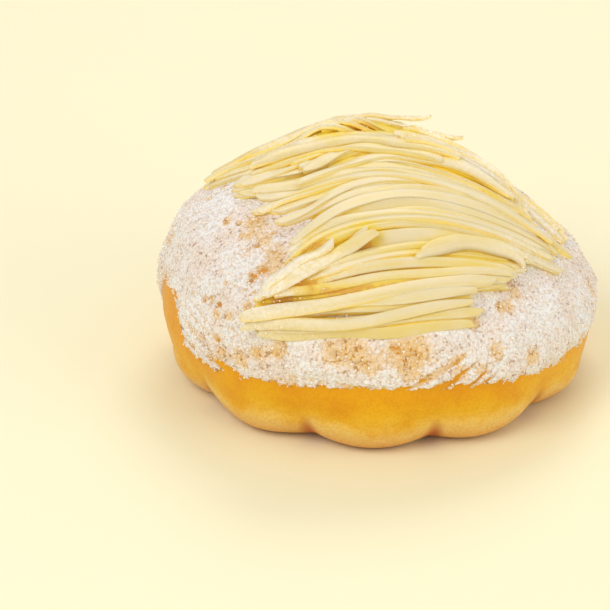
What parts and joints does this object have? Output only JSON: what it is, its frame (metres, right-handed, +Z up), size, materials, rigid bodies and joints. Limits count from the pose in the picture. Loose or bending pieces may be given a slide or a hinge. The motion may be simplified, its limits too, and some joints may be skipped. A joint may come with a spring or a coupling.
{
  "type": "cheese ensaymada",
  "caption": "Round fluted brioche bun with a powdery sugar and butter coat and a heap of grated cheese strips on top.",
  "frame": {"origin": "middle of the flat base that the bun rests on", "axes": "+Z up, -Y to the shown front, +X to the shown right, along the cheese strips"},
  "size_m": [0.1187, 0.1192, 0.0621],
  "materials": {
    "crust": "baked golden bread crust, satin sheen, paler at the foot and browner in the creases",
    "sugar_coat": "matt granular coat of butter, fine sugar and milk powder, ivory white with thin golden spots",
    "cheese": "pale yellow grated cheese, soft satin, slightly translucent"
  },
  "bodies": {
    "root": {"bun": "crust", "sugar_coat": "sugar_coat", "cheese": "cheese"}
  },
  "joints": []
}
